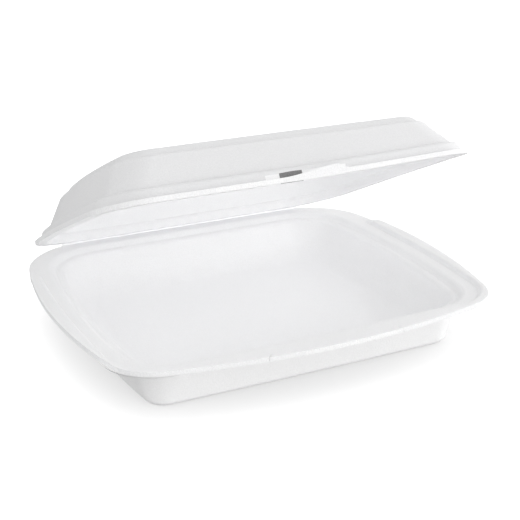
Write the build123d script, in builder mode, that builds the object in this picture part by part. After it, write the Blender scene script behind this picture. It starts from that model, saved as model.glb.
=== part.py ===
from build123d import *
import os
from math import acos, cos, degrees, radians, sin, sqrt

# Foam clamshell container: a stepped-rim tray and a domed lid, pressed from one foam sheet.
# Millimetres. X runs along the hinge, +Y points to the hinge side, +Z is up.
# The origin is the middle of the tray's underside. The lid stands part open.

# Foam sheet: thickness where it lies level, and across its sloping walls
sheet = 2.5
wall = 2.7

# Tray: overall size, to the edge of its raised flange
tray_half_length = 120.0
tray_half_depth = 107.6
tray_height = 30.8

# Tray: drops from the flange to the upper ledge, and from there to the lower ledge
nest_depth = 2.2
step_depth = 3.1

# Tray: widths of the rim at the sides, from the outside in
side_lip = 8.5
side_upper_ledge = 6.4
side_lower_ledge = 4.0
side_wall_run = 6.5

# Tray: the same at the front
front_lip = 15.0
front_upper_ledge = 4.5
front_lower_ledge = 3.6
front_wall_run = 8.2

# Tray: the same at the hinge, where the upper ledge runs out to the edge
back_upper_ledge = 11.0
back_lower_ledge = 4.5
back_wall_run = 12.7

# Slopes of the two risers in the rim
step_run = 2.6
riser_draft = 1.6

# Tray: how far its sides and its front lip bow out
flange_bow = 15.0
lip_bow = 15.2
step_bow = 8.5
bottom_bow = 7.0
straight_bow = 1.0

# Tray: corner radii
flange_front_corner = 27.0
flange_back_corner = 44.0
nest_corner = 28.5
step_front_corner = 27.0
step_back_corner = 30.0
well_front_corner = 23.0
well_back_corner = 26.0
bottom_front_corner = 10.0
bottom_back_corner = 18.0

# Tray: rounded edges
floor_radius = 16.0
bottom_radius = 3.5
well_edge_radius = 3.4
step_foot_radius = 1.5
step_edge_radius = 3.2
nest_edge_radius = 1.4

# Tray: ramps at the ends of the raised flange, and the slits of its locking tongue
notch_y = 57.0
ramp_run = 5.0
tongue_half_width = 38.0
slit_length = 7.0
slit_width = 0.4
slit_angle = 40.0

# Lid: how far it stands open, how it nests in the tray, and how far its sides bow out
lid_open_angle = 23.3
nest_clearance = 0.6
seat_clearance = 0.4
lid_bow = 6.9

# Lid: insets of its bead, wall and top panel from its edge, and how much more at the hinge
bead_foot_inset = 3.0
bead_crown_inset = 4.6
wall_foot_inset = 8.0
wall_crown_inset = 16.8
panel_foot_inset = 18.8
panel_crown_inset = 22.2
dome_setback = 5.7

# Lid: heights above the underside of its flange
bead_height = 7.9
wall_height = 24.6
lid_height = 28.5

# Lid: corner radii and rounded edges
lid_back_corner = 42.0
bead_front_corner = 24.0
dome_front_corner = 18.0
panel_front_corner = 14.0
dome_back_corner = 34.5
bead_radius = 3.2
wall_crown_radius = 2.4
panel_radius = 3.2

# Lid: slot for the tray's tongue, in the front flange at the foot of the bead
slot_length = 45.0
slot_width = 2.3
slot_edge_strip = 1.5

# Living hinge: how far its straight crease cuts into the back of both outlines, and its thin web
crease_trim = 1.9
hinge_half_length = 84.0
hinge_gap = 0.8
web_inner_radius = 1.3
web_thickness = 1.0

# How far the lid's nest runs on behind the hinge
overrun = 5.0

# Levels of the tray's ledges
upper_ledge_z = tray_height - nest_depth
lower_ledge_z = upper_ledge_z - step_depth

# Lid's edge, from the tray's flange
lid_half_length = tray_half_length - side_lip - nest_clearance
lid_front = front_lip + nest_clearance - tray_half_depth

# Upper and lower edge of the step inside the nest, then the mouth of the well
step_top_half_length = tray_half_length - side_lip - side_upper_ledge
step_top_front = front_lip + front_upper_ledge - tray_half_depth
step_top_back = tray_half_depth - back_upper_ledge
step_foot_half_length = step_top_half_length - step_run
step_foot_front = step_top_front + step_run
step_foot_back = step_top_back - step_run
well_half_length = step_foot_half_length - side_lower_ledge
well_front = step_foot_front + front_lower_ledge
well_back = step_foot_back - back_lower_ledge

# Outside of the tray's flat bottom
bottom_half_length = well_half_length + wall - side_wall_run
bottom_front = well_front - wall + front_wall_run
bottom_back = well_back + wall - back_wall_run

# Hinge axis, half way between the tray's back ledge and the closed lid's flange
hinge_edge = tray_half_depth - crease_trim
axis_y = hinge_edge + hinge_gap
axis_z = upper_ledge_z + seat_clearance / 2
lid_tilt = radians(lid_open_angle)
lid_plane = Plane(
    origin=(0, axis_y, axis_z),
    x_dir=(1, 0, 0),
    z_dir=(0, sin(lid_tilt), cos(lid_tilt)),
)
lid_axis = Axis(lid_plane.origin, lid_plane.z_dir)
lid_crease = Plane(
    origin=lid_plane.from_local_coords((0, -hinge_gap, 0)),
    x_dir=(1, 0, 0),
    z_dir=(0, -cos(lid_tilt), sin(lid_tilt)),
)
lid_underside = seat_clearance / 2

# Front lip: where its bowed edge lies at the ends of the tongue
lip_half_chord = tray_half_length - flange_bow
lip_radius = (lip_half_chord**2 + lip_bow**2) / (2 * lip_bow)
tongue_edge_y = lip_radius - tray_half_depth - sqrt(lip_radius**2 - tongue_half_width**2)


def outline(plane, half_length, front, back, side_bow, front_bow, front_corner, back_corner):
    """Draws a box outline: straight at the back, bowed at the sides and front, with round corners."""
    corner_x = half_length - side_bow
    corner_y = front + front_bow
    middle_y = (corner_y + back) / 2
    with BuildSketch(plane) as drawn:
        with BuildLine():
            back_edge = Line((-corner_x, back), (corner_x, back))
            right_edge = ThreePointArc(back_edge @ 1, (half_length, middle_y), (corner_x, corner_y))
            front_edge = ThreePointArc(right_edge @ 1, (0, front), (-corner_x, corner_y))
            ThreePointArc(front_edge @ 1, (-half_length, middle_y), back_edge @ 0)
        make_face()
        fillet(drawn.vertices().group_by(Axis.Y)[-1], back_corner)
        fillet(drawn.vertices().group_by(Axis.Y)[0], front_corner)
    return drawn.sketch


def bottom_outline(z, inset):
    return outline(
        Plane.XY.offset(z), bottom_half_length - inset, bottom_front + inset, bottom_back - inset,
        bottom_bow, straight_bow, bottom_front_corner, bottom_back_corner,
    )


def well_outline(z, outset):
    return outline(
        Plane.XY.offset(z), well_half_length + outset, well_front - outset, well_back + outset,
        step_bow, straight_bow, well_front_corner, well_back_corner,
    )


def step_foot_outline(z, outset):
    return outline(
        Plane.XY.offset(z), step_foot_half_length + outset, step_foot_front - outset, step_foot_back + outset,
        step_bow, straight_bow, step_front_corner, step_back_corner,
    )


def step_top_outline(z, outset):
    return outline(
        Plane.XY.offset(z), step_top_half_length + outset, step_top_front - outset, step_top_back + outset,
        step_bow, straight_bow, step_front_corner, step_back_corner,
    )


def nest_outline(z, outset):
    """The recess in the raised flange that takes the closed lid, open towards the hinge."""
    return outline(
        Plane.XY.offset(z), lid_half_length + nest_clearance + outset, lid_front - nest_clearance - outset,
        tray_half_depth + overrun, lid_bow, straight_bow, nest_corner, nest_corner,
    )


def flange_outline(z):
    return outline(
        Plane.XY.offset(z), tray_half_length, -tray_half_depth, tray_half_depth,
        flange_bow, lip_bow, flange_front_corner, flange_back_corner,
    )


def lid_outline(height, inset, setback, front_corner, back_corner):
    """An outline of the lid above its flange's underside, in the lid's own tilted frame."""
    return outline(
        lid_plane.offset(lid_underside + height), lid_half_length - inset, lid_front - axis_y + inset,
        crease_trim - hinge_gap - inset - setback, lid_bow, straight_bow, front_corner, back_corner,
    )


def dome_outline(height, inset, front_corner):
    return lid_outline(height, inset, dome_setback, front_corner, dome_back_corner)


def lid_forms(inset, drop):
    """Lower outline, upper outline and edge radius of the lid's bead, wall and top panel."""
    return [
        (
            dome_outline(sheet - drop, bead_foot_inset + inset, bead_front_corner),
            dome_outline(bead_height - drop, bead_crown_inset + inset, bead_front_corner),
            bead_radius,
        ),
        (
            dome_outline(bead_height - drop, wall_foot_inset + inset, dome_front_corner),
            dome_outline(wall_height - drop, wall_crown_inset + inset, dome_front_corner),
            wall_crown_radius,
        ),
        (
            dome_outline(wall_height - drop, panel_foot_inset + inset, panel_front_corner),
            dome_outline(lid_height - drop, panel_crown_inset + inset, panel_front_corner),
            panel_radius,
        ),
    ]


def edge_of_hole(part, z):
    """The inner edges of the level ring-shaped face at a height."""
    ring = part.faces().filter_by(Plane.XY).sort_by(lambda face: abs(face.center().Z - z))[0]
    return ring.inner_wires()[0].edges()


def rim_of_hole(part, z):
    """The outer edges of the level ring-shaped face at a height."""
    ring = part.faces().filter_by(Plane.XY).sort_by(lambda face: abs(face.center().Z - z))[0]
    return ring.outer_wire().edges()


def web_angle(radius):
    """Turn, from straight back, at which a circle about the hinge axis meets the tray's back edge."""
    return degrees(acos(-hinge_gap / radius))


# Hollow of the tray, between the floor and the lower ledge
with BuildPart() as well:
    loft([bottom_outline(0, wall), well_outline(lower_ledge_z, 0)], ruled=True)
    split(bisect_by=Plane.XY.offset(sheet), keep=Keep.TOP)
    fillet(well.faces().sort_by(Axis.Z)[0].edges(), floor_radius)

# Hollow in the raised flange that takes the closed lid
with BuildPart() as nest:
    loft([nest_outline(upper_ledge_z, 0), nest_outline(tray_height, riser_draft)], ruled=True)

# Flange, raised around the closed lid, with a rounded inner edge
with BuildPart() as raised_flange:
    extrude(flange_outline(tray_height - sheet), amount=sheet)
    split(bisect_by=Plane.XZ.offset(ramp_run - notch_y), keep=Keep.TOP)
    add(nest.part, mode=Mode.SUBTRACT)
    nest_edge = nest.faces().sort_by(Axis.Z)[-1].outer_wire()
    inner_edges = raised_flange.edges().sort_by(lambda edge: nest_edge.distance_to(edge @ 0.5))[:5]
    fillet(inner_edges, nest_edge_radius)

# Ramps from the ends of the flange down to the upper ledge
with BuildPart() as ramps:
    with BuildSketch(Plane.YZ):
        Polygon(
            (notch_y - ramp_run, tray_height),
            (notch_y, upper_ledge_z),
            (notch_y, upper_ledge_z - sheet),
            (notch_y - ramp_run, tray_height - sheet),
            align=None,
        )
    extrude(amount=tray_half_length, both=True)
    extrude(flange_outline(0), amount=tray_height, mode=Mode.INTERSECT)
    add(nest.part, mode=Mode.SUBTRACT)

# Outside of the nest, under the flange and the ramps
with BuildPart() as nest_wall:
    nest_wall_foot = nest_outline(upper_ledge_z - sheet, wall)
    nest_wall_top = nest_outline(tray_height - sheet, wall + riser_draft)
    loft([nest_wall_foot, nest_wall_top], ruled=True)
    split(bisect_by=Plane.XZ.offset(-notch_y), keep=Keep.TOP)
    add(nest.part, mode=Mode.SUBTRACT)

# Back part of the rim, level with the upper ledge and cut straight at the hinge
with BuildPart() as hinge_rim:
    extrude(flange_outline(upper_ledge_z - sheet), amount=sheet)
    split(bisect_by=Plane.XZ.offset(-notch_y), keep=Keep.BOTTOM)
    split(bisect_by=Plane.XZ.offset(-hinge_edge), keep=Keep.TOP)

with BuildPart() as base_tray:
    # Outside of the walls and of the lower step, then the two parts of the rim
    loft([bottom_outline(0, 0), well_outline(lower_ledge_z, wall)], ruled=True)
    fillet(base_tray.faces().sort_by(Axis.Z)[0].edges(), bottom_radius)
    step_wall_foot = step_foot_outline(lower_ledge_z - sheet, wall)
    step_wall_top = step_top_outline(upper_ledge_z - sheet, wall)
    loft([step_wall_foot, step_wall_top], ruled=True)
    add(nest_wall.part)
    add(raised_flange.part)
    add(ramps.part)
    add(hinge_rim.part)
    # Hollow side: the step and the well
    step_foot = step_foot_outline(lower_ledge_z, 0)
    step_top = step_top_outline(upper_ledge_z, 0)
    loft([step_foot, step_top], ruled=True, mode=Mode.SUBTRACT)
    add(well.part, mode=Mode.SUBTRACT)
    fillet(rim_of_hole(base_tray, lower_ledge_z), step_foot_radius)
    fillet(edge_of_hole(base_tray, lower_ledge_z), well_edge_radius)
    fillet(edge_of_hole(base_tray, upper_ledge_z), step_edge_radius)
    # Slits at the ends of the locking tongue in the front lip
    with BuildSketch(Plane.XY.offset(tray_height)):
        for side in (-1, 1):
            with Locations((side * tongue_half_width, tongue_edge_y)):
                Rectangle(slit_width, slit_length, rotation=side * slit_angle)
    extrude(amount=sheet, both=True, mode=Mode.SUBTRACT)
base_tray.part.label = "base_tray"

# Hollow of the lid
with BuildPart() as dome:
    for low, high, radius in lid_forms(wall, sheet):
        loft([low, high], ruled=True)
        fillet(dome.faces().sort_by(lid_axis)[-1].edges(), radius)

with BuildPart() as lid:
    extrude(lid_outline(0, 0, 0, nest_corner, lid_back_corner), amount=sheet)
    split(bisect_by=lid_crease, keep=Keep.TOP)
    for low, high, radius in lid_forms(0, 0):
        loft([low, high], ruled=True)
        fillet(lid.faces().sort_by(lid_axis)[-1].edges(), radius)
    add(dome.part, mode=Mode.SUBTRACT)
    # Slot for the tongue
    with BuildSketch(lid_plane.offset(lid_underside)):
        with Locations((0, lid_front - axis_y + slot_edge_strip + slot_width / 2)):
            Rectangle(slot_length, slot_width)
    extrude(amount=bead_height - sheet, mode=Mode.SUBTRACT)
lid.part.label = "lid"

# Thin curved web that joins the two back edges
with BuildPart() as living_hinge:
    web_outer_radius = web_inner_radius + web_thickness
    inner_turn = web_angle(web_inner_radius)
    outer_turn = web_angle(web_outer_radius)
    with BuildSketch(Plane((-hinge_half_length, axis_y, axis_z), x_dir=(0, 1, 0), z_dir=(1, 0, 0))):
        with BuildLine():
            inside = CenterArc((0, 0), web_inner_radius, -inner_turn, 2 * inner_turn - lid_open_angle)
            outside = CenterArc((0, 0), web_outer_radius, -outer_turn, 2 * outer_turn - lid_open_angle)
            Line(inside @ 0, outside @ 0)
            Line(inside @ 1, outside @ 1)
        make_face()
    extrude(amount=2 * hinge_half_length)
living_hinge.part.label = "living_hinge"

os.makedirs("parts", exist_ok=True)
export_step(base_tray.part, "parts/base_tray.step")
export_step(lid.part, "parts/lid.step")
export_step(living_hinge.part, "parts/living_hinge.step")
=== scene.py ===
import math

import bmesh
import bpy
from mathutils import Matrix, Vector, noise


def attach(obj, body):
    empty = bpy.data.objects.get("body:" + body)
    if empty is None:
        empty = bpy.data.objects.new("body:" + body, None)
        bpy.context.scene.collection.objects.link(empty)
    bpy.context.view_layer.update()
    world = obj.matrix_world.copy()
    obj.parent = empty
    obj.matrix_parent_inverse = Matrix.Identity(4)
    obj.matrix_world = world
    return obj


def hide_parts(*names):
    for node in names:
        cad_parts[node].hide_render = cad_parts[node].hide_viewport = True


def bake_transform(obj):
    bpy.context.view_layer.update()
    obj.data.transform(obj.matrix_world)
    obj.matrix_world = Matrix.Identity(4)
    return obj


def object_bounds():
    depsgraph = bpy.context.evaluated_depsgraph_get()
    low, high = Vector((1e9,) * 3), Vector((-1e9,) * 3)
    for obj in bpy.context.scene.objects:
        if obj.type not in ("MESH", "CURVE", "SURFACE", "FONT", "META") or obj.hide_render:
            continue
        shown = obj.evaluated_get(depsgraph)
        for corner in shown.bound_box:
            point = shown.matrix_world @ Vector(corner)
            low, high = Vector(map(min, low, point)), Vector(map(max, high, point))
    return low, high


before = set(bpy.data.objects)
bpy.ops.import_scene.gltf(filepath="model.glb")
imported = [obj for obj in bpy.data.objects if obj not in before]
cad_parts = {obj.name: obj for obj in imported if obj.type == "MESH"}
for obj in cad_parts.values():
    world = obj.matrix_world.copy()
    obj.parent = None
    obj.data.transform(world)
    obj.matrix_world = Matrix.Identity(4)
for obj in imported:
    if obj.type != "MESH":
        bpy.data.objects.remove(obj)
cad_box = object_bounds()

# Lid's own frame: X along the hinge, Y from the front edge to the hinge axis, Z out of the closed lid
hinge = Vector((0, 0.1065, 0.0288))
lid_tilt = math.radians(23.3)
lid_frame = Matrix.Translation(hinge) @ Matrix.Rotation(-lid_tilt, 4, "X")
lid_reach = 0.1985
lid_half_length = 0.1109

# Spacing of the cuts that let the lid's sheet bend
column_width = 0.0021
row_depth = 0.0085

# Lid's right side, sprung up a little: lift at the front corner and along the side, and shift outwards
corner_lift = 0.0022
side_lift = 0.0060
side_shift = 0.0012
sprung_below = 0.006
rigid_above = 0.024

# Slot in the lid's front flange: the stretch of its walls with painted shade where it stands open, and the
# strip in front of it, which is bent up
slot_front = 0.0016
slot_back = 0.0039
slot_foot = 0.0003
slot_top = 0.0057
slot_shade_left = -0.0148
slot_shade_right = -0.0020
strip_foot = 0.0022
strip_top = 0.0032
strip_width = 0.0017
strip_half_length = 0.0226
strip_lift = 0.0028
strip_push = 0.0004
lift_begins = -0.0145
lift_full = 0.0145
lift_fades = 0.0168
lift_ends = 0.0224

# Die-cut edges: heights between which they lie, and the stretches along the front where the rough edge
# carries a painted glint
tray_edge_heights = (0.0235, 0.0305)
lid_edge_heights = (0.0002, 0.0035)
tray_glints = [(-0.020, 0.038)]
lid_glints = [(-0.050, -0.014), (0.034, 0.053)]
height_margin = 0.003
edge_margin = 0.0006

# Hinge strip: the curved web between the two back edges
hinge_half_length = 0.084
web_inner_radius = 0.00085
web_outer_radius = 0.0022
web_gap = 0.0008
crease_depth = 0.0001
ripple_depth = 0.00006
ripple_scale = 160
web_turns = 28
web_columns = 84

# Table: how far it lies under the box, and its width
table_gap = 0.0004
table_width = 8


def smooth_share(value, low, high):
    """0 below low, 1 above high, and an even S-curve between them."""
    share = min(max((value - low) / (high - low), 0), 1)
    return share * share * (3 - 2 * share)


def foam_material(name, dark, light, smoothest=0.32, roughest=0.46, grain_depth=0.4, unevenness=0.25):
    """Polystyrene foam: bead cells, speckle between two greys, patchy gloss and light through thin edges."""
    material = bpy.data.materials.new(name)
    material.use_nodes = True
    nodes = material.node_tree.nodes
    links = material.node_tree.links
    shader = nodes["Principled BSDF"]
    shader.inputs["IOR"].default_value = 1.45
    shader.inputs["Subsurface Weight"].default_value = 0.35
    shader.inputs["Subsurface Radius"].default_value = (1, 1, 1)
    shader.inputs["Subsurface Scale"].default_value = 0.0012

    place = nodes.new("ShaderNodeTexCoord")
    cells = nodes.new("ShaderNodeTexVoronoi")
    cells.inputs["Scale"].default_value = 1150
    speckle = nodes.new("ShaderNodeTexNoise")
    speckle.inputs["Scale"].default_value = 1500
    speckle.inputs["Detail"].default_value = 2
    patches = nodes.new("ShaderNodeTexNoise")
    patches.inputs["Scale"].default_value = 45
    patches.inputs["Detail"].default_value = 4
    for texture in (cells, speckle, patches):
        links.new(place.outputs["Object"], texture.inputs["Vector"])

    colour = nodes.new("ShaderNodeValToRGB")
    colour.color_ramp.elements[0].position = 0.3
    colour.color_ramp.elements[0].color = (*dark, 1)
    colour.color_ramp.elements[1].position = 0.7
    colour.color_ramp.elements[1].color = (*light, 1)
    links.new(speckle.outputs["Fac"], colour.inputs["Fac"])
    links.new(colour.outputs["Color"], shader.inputs["Base Color"])

    gloss = nodes.new("ShaderNodeMapRange")
    gloss.inputs["From Min"].default_value = 0.3
    gloss.inputs["From Max"].default_value = 0.7
    gloss.inputs["To Min"].default_value = smoothest
    gloss.inputs["To Max"].default_value = roughest
    links.new(patches.outputs["Fac"], gloss.inputs["Value"])
    links.new(gloss.outputs["Result"], shader.inputs["Roughness"])

    waves = nodes.new("ShaderNodeBump")
    waves.inputs["Strength"].default_value = unevenness
    waves.inputs["Distance"].default_value = 0.0012
    links.new(patches.outputs["Fac"], waves.inputs["Height"])
    grain = nodes.new("ShaderNodeBump")
    grain.inputs["Strength"].default_value = grain_depth
    grain.inputs["Distance"].default_value = 0.0003
    links.new(cells.outputs["Distance"], grain.inputs["Height"])
    links.new(waves.outputs["Normal"], grain.inputs["Normal"])
    links.new(grain.outputs["Normal"], shader.inputs["Normal"])
    return material


skin = foam_material("foam_skin", (0.936, 0.936, 0.942), (0.985, 0.985, 0.988))
# Painted shade: a greyer copy of the skin for the lid's outside, where less light falls
lid_painted_shade = foam_material("foam_lid_painted_shade", (0.788, 0.788, 0.796), (0.83, 0.83, 0.836))
cut_edge = foam_material("foam_cut_edge", (0.84, 0.84, 0.846), (0.93, 0.93, 0.936), 0.5, 0.7, 0.5, 0.1)
# Painted highlight: a whiter copy of the cut edge for the glints along the front
painted_glint_edge = foam_material("foam_painted_glint_edge", (0.86, 0.86, 0.866), (1, 1, 1), 0.5, 0.7, 0.8, 0.1)
# Painted shade: a dark finish on the slot's walls for the shade of its opening
slot_shade = foam_material("foam_slot_shade", (0.20, 0.20, 0.201), (0.28, 0.28, 0.281), 0.7, 0.8, 0.3, 0.1)
foam_kinds = [skin, lid_painted_shade, cut_edge, painted_glint_edge, slot_shade]

# Painted light: the inside of the hinge's web glows a little, in place of the light that the thin web lets
# through
hinge_glow = foam_material("foam_hinge_painted_glow", (0.936, 0.936, 0.942), (0.985, 0.985, 0.988))
glow_shader = hinge_glow.node_tree.nodes["Principled BSDF"]
glow_shader.inputs["Emission Color"].default_value = (1, 1, 1, 1)
glow_shader.inputs["Emission Strength"].default_value = 0.1

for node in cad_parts.values():
    for slot in node.material_slots:
        slot.material = skin


def outline_faces(form, low, high):
    """The upright faces between two heights that lie on the sheet's convex outline, where it was die cut."""
    directions = [(math.cos(math.radians(a)), math.sin(math.radians(a))) for a in range(360)]
    band = [v.co for v in form.verts if low - height_margin < v.co.z < high + height_margin]
    points = [(point.x, point.y) for point in band]
    reach = [max(x * c + y * s for x, y in points) for c, s in directions]
    found = []
    for face in form.faces:
        centre = face.calc_center_median()
        flat = Vector((face.normal.x, face.normal.y))
        if low < centre.z < high and flat.length > 0.9:
            angle = round(math.degrees(math.atan2(flat.y, flat.x))) % 360
            c, s = directions[angle]
            if reach[angle] - (centre.x * c + centre.y * s) < edge_margin:
                found.append(face)
    return found


def paint_cut_edge(form, heights, glint_stretches):
    """Open cells on the die-cut edge, with a painted glint where it is rougher along the front."""
    for face in outline_faces(form, *heights):
        centre = face.calc_center_median()
        # Painted highlight on the listed stretches of the front edge
        glinting = centre.y < 0 and any(low < centre.x < high for low, high in glint_stretches)
        face.material_index = foam_kinds.index(painted_glint_edge if glinting else cut_edge)


def sheet_piece(name, form, body, node):
    """Turns a finished form of the sheet into a piece that stands for a CAD node."""
    mesh = bpy.data.meshes.new(name)
    form.to_mesh(mesh)
    form.free()
    for kind in foam_kinds:
        mesh.materials.append(kind)
    piece = bpy.data.objects.new(name, mesh)
    bpy.context.collection.objects.link(piece)
    mesh.shade_smooth()
    mesh.set_sharp_from_angle(angle=math.radians(32))
    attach(piece, body)
    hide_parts(node)


def tray_shell():
    """The tray as made, with open cells on its die-cut rim."""
    form = bmesh.new()
    form.from_mesh(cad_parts["base_tray"].data)
    for face in form.faces:
        face.material_index = foam_kinds.index(skin)
    paint_cut_edge(form, tray_edge_heights, tray_glints)
    sheet_piece("tray_shell", form, "base", "base_tray")


def slice_form(form, spacing, direction, first, last):
    """Cuts every face along evenly spaced planes, so that the form can bend there."""
    for step in range(first, last + 1):
        everything = form.verts[:] + form.edges[:] + form.faces[:]
        place = Vector(direction) * (step * spacing)
        bmesh.ops.bisect_plane(form, geom=everything, plane_co=place, plane_no=direction)


def bend_lid(form):
    """Springs the lid's right side up, and bends the strip in front of the slot up towards the bead."""
    for vertex in form.verts:
        x, y, height = vertex.co
        across = max(x / lid_half_length, 0)
        along = -y / lid_reach
        low = 1 - smooth_share(height, sprung_below, rigid_above)
        spring = corner_lift * along * across + side_lift * along * (1 - along) * across**2
        vertex.co.z += low * spring
        vertex.co.x += side_shift * along * low * across
        on_strip = strip_foot < height < strip_top and y < strip_width - lid_reach
        if on_strip and abs(x) < strip_half_length:
            lift = smooth_share(x, lift_begins, lift_full) * (1 - smooth_share(x, lift_fades, lift_ends))
            vertex.co.z += strip_lift * lift
            vertex.co.y += strip_push * lift


def lid_shell():
    """The lid, with painted shade that makes its outside a little greyer, as in the photograph, and its slot
    and cut edge.
    """
    form = bmesh.new()
    form.from_mesh(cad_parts["lid"].data)
    form.transform(lid_frame.inverted())
    form.normal_update()
    columns = int(lid_half_length / column_width)
    rows = int(lid_reach / row_depth)
    slice_form(form, column_width, (1, 0, 0), -columns, columns)
    slice_form(form, row_depth, (0, -1, 0), 1, rows)
    for face in form.faces:
        x, y, height = face.calc_center_median()
        in_slot = slot_front < y + lid_reach < slot_back and slot_foot < height < slot_top
        # Painted shade: the lid's outward faces take the greyer copy of the skin
        kind = lid_painted_shade if face.normal.z > 0.02 else skin
        # Painted shade: the slot's walls take the dark finish where the slot stands open
        if in_slot and slot_shade_left < x < slot_shade_right:
            kind = slot_shade
        face.material_index = foam_kinds.index(kind)
    paint_cut_edge(form, lid_edge_heights, lid_glints)
    bend_lid(form)
    form.transform(lid_frame)
    sheet_piece("lid_shell", form, "lid", "lid")


def web_point(x, distance, angle):
    """A point of the hinge's web, at a distance and a turn from the hinge axis."""
    return (x, hinge.y + distance * math.cos(angle), hinge.z + distance * math.sin(angle))


def web_ring(form, x):
    """The points of the web's section at a place along the hinge: its inside, then its creased outside."""
    ring = []
    for radius in (web_inner_radius, web_outer_radius):
        reach = math.acos(-web_gap / radius)
        for step in range(web_turns + 1):
            share = step / web_turns
            distance = radius
            if radius == web_outer_radius:
                ripple = abs(noise.noise((x * ripple_scale, share * 3, 0)))
                distance -= crease_depth * (1 + math.cos(share * 6 * math.pi)) + ripple_depth * ripple
            angle = (2 * reach - lid_tilt) * share - reach
            ring.append(form.verts.new(web_point(x, distance, angle)))
    return ring


def hinge_strip():
    """The thinned, creased strip of sheet along the back, shaped for the lid's present tilt."""
    form = bmesh.new()
    spacing = 2 * hinge_half_length / web_columns
    rings = [web_ring(form, column * spacing - hinge_half_length) for column in range(web_columns + 1)]
    count = web_turns + 1
    for left, right in zip(rings, rings[1:]):
        for step in range(web_turns):
            inside = form.faces.new((left[step], left[step + 1], right[step + 1], right[step]))
            # Painted light: the web's inside faces take the glowing finish
            inside.material_index = 1
            outer = count + step
            form.faces.new((left[outer + 1], left[outer], right[outer], right[outer + 1]))
        form.faces.new((left[count], left[0], right[0], right[count]))
        form.faces.new((left[web_turns], left[count + web_turns], right[count + web_turns], right[web_turns]))
    for ring in (rings[0], rings[-1]):
        for step in range(web_turns):
            form.faces.new((ring[step], ring[step + 1], ring[count + step + 1], ring[count + step]))
    bmesh.ops.recalc_face_normals(form, faces=form.faces)
    mesh = bpy.data.meshes.new("hinge_strip")
    form.to_mesh(mesh)
    form.free()
    mesh.materials.append(skin)
    mesh.materials.append(hinge_glow)
    strip = bpy.data.objects.new("hinge_strip", mesh)
    bpy.context.collection.objects.link(strip)
    mesh.shade_smooth()
    mesh.set_sharp_from_angle(angle=math.radians(40))
    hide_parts("living_hinge")
    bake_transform(strip)


def lamp_at(light, place, aim):
    """Hangs a light at a place, facing a point."""
    lamp = bpy.data.objects.new(light.name, light)
    bpy.context.collection.objects.link(lamp)
    direction = Vector(aim) - Vector(place)
    lamp.matrix_world = Matrix.Translation(place) @ direction.to_track_quat("-Z", "Y").to_matrix().to_4x4()
    return lamp


def white_table():
    """A plain white table with a sky of its own, so that the box's soft shadow shows on it."""
    material = bpy.data.materials.new("table_white")
    material.use_nodes = True
    shader = material.node_tree.nodes["Principled BSDF"]
    shader.inputs["Base Color"].default_value = (0.4, 0.4, 0.4, 1)
    shader.inputs["Roughness"].default_value = 0.9
    shader.inputs["Specular IOR Level"].default_value = 0
    shader.inputs["Emission Color"].default_value = (1, 1, 1, 1)
    shader.inputs["Emission Strength"].default_value = 0.38
    bpy.ops.mesh.primitive_plane_add(size=table_width, location=(0, 0, cad_box[0][2] - table_gap))
    floor = bpy.context.object
    floor.name = "floor"
    floor.data.materials.append(material)
    floor.visible_diffuse = False
    floor.visible_glossy = False
    floor.visible_shadow = False

    sky = bpy.data.lights.new("table_sky", "SUN")
    sky.energy = 5.9
    sky.angle = math.radians(150)
    lamp = lamp_at(sky, (0, 0, 1), (0, 0, 0))
    lit_by_sky = bpy.data.collections.new("lit_by_sky")
    lit_by_sky.objects.link(floor)
    lamp.light_linking.receiver_collection = lit_by_sky


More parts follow.
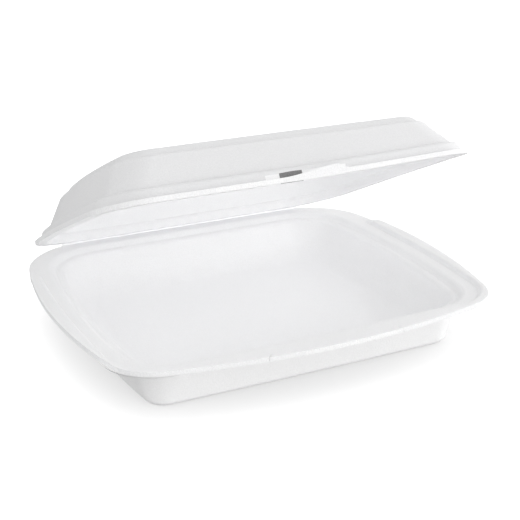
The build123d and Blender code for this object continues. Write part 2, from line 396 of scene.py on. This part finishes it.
def light_tent(lobes):
    """A light tent round the box: each lobe is a direction with the brightness of the tent's wall there."""
    world = bpy.data.worlds.new("light_tent")
    bpy.context.scene.world = world
    world.use_nodes = True
    nodes = world.node_tree.nodes
    links = world.node_tree.links
    way = nodes.new("ShaderNodeTexCoord")
    total = None
    for direction, strength in lobes:
        facing = nodes.new("ShaderNodeVectorMath")
        facing.operation = "DOT_PRODUCT"
        facing.inputs[1].default_value = Vector(direction).normalized()
        links.new(way.outputs["Generated"], facing.inputs[0])
        near_half = nodes.new("ShaderNodeMath")
        near_half.operation = "MAXIMUM"
        near_half.inputs[1].default_value = 0
        links.new(facing.outputs["Value"], near_half.inputs[0])
        spread = nodes.new("ShaderNodeMath")
        spread.operation = "POWER"
        spread.inputs[1].default_value = 2
        links.new(near_half.outputs[0], spread.inputs[0])
        share = nodes.new("ShaderNodeMath")
        share.operation = "MULTIPLY_ADD"
        share.inputs[1].default_value = strength
        share.inputs[2].default_value = 0
        links.new(spread.outputs[0], share.inputs[0])
        if total:
            links.new(total, share.inputs[2])
        total = share.outputs[0]
    links.new(total, nodes["Background"].inputs["Strength"])
    nodes["Background"].inputs["Color"].default_value = (1, 1, 1, 1)


def well_light():
    """A soft-edged spotlight that reaches under the lid to the back wall of the tray."""
    light = bpy.data.lights.new("well_light", "SPOT")
    light.spot_size = math.radians(12)
    light.spot_blend = 1
    light.shadow_soft_size = 0.05
    light.energy = 1.5
    lamp_at(light, (0.25, -0.75, 0.27), (0.045, 0.085, 0.02))


def photo_camera():
    """The camera, where the photograph was taken from."""
    lens = bpy.data.cameras.new("camera")
    lens.sensor_width = 36
    lens.lens = 71.58
    camera = bpy.data.objects.new("camera", lens)
    bpy.context.collection.objects.link(camera)
    right = Vector((0.90717, -0.42037, -0.01847))
    up = Vector((0.1638, 0.31237, 0.93573))
    back = Vector((-0.38758, -0.85189, 0.35223))
    turn = Matrix((right, up, back)).transposed().to_4x4()
    camera.matrix_world = Matrix.Translation((-0.2279, -0.51416, 0.25073)) @ turn
    bpy.context.scene.camera = camera


tray_shell()
lid_shell()
hinge_strip()
white_table()
light_tent([
    ((0, -1, 0.15), 1.40),
    ((1, 0, 0.15), 1.60),
    ((-1, 0, 0.15), 0.40),
    ((0, 1, 0.15), 0.36),
    ((-0.7, 0.7, 0.8), 0.76),
    ((0.7, -0.7, 0.8), 0.06),
    ((-1, 0, -0.7), 0.26),
    ((1, 0, -0.7), 0.20),
])
well_light()
photo_camera()

# White stays white, and light bounces often enough to fill the white foam's hollows
bpy.context.scene.view_settings.view_transform = "Standard"
bpy.context.scene.cycles.max_bounces = 32
bpy.context.scene.cycles.diffuse_bounces = 24
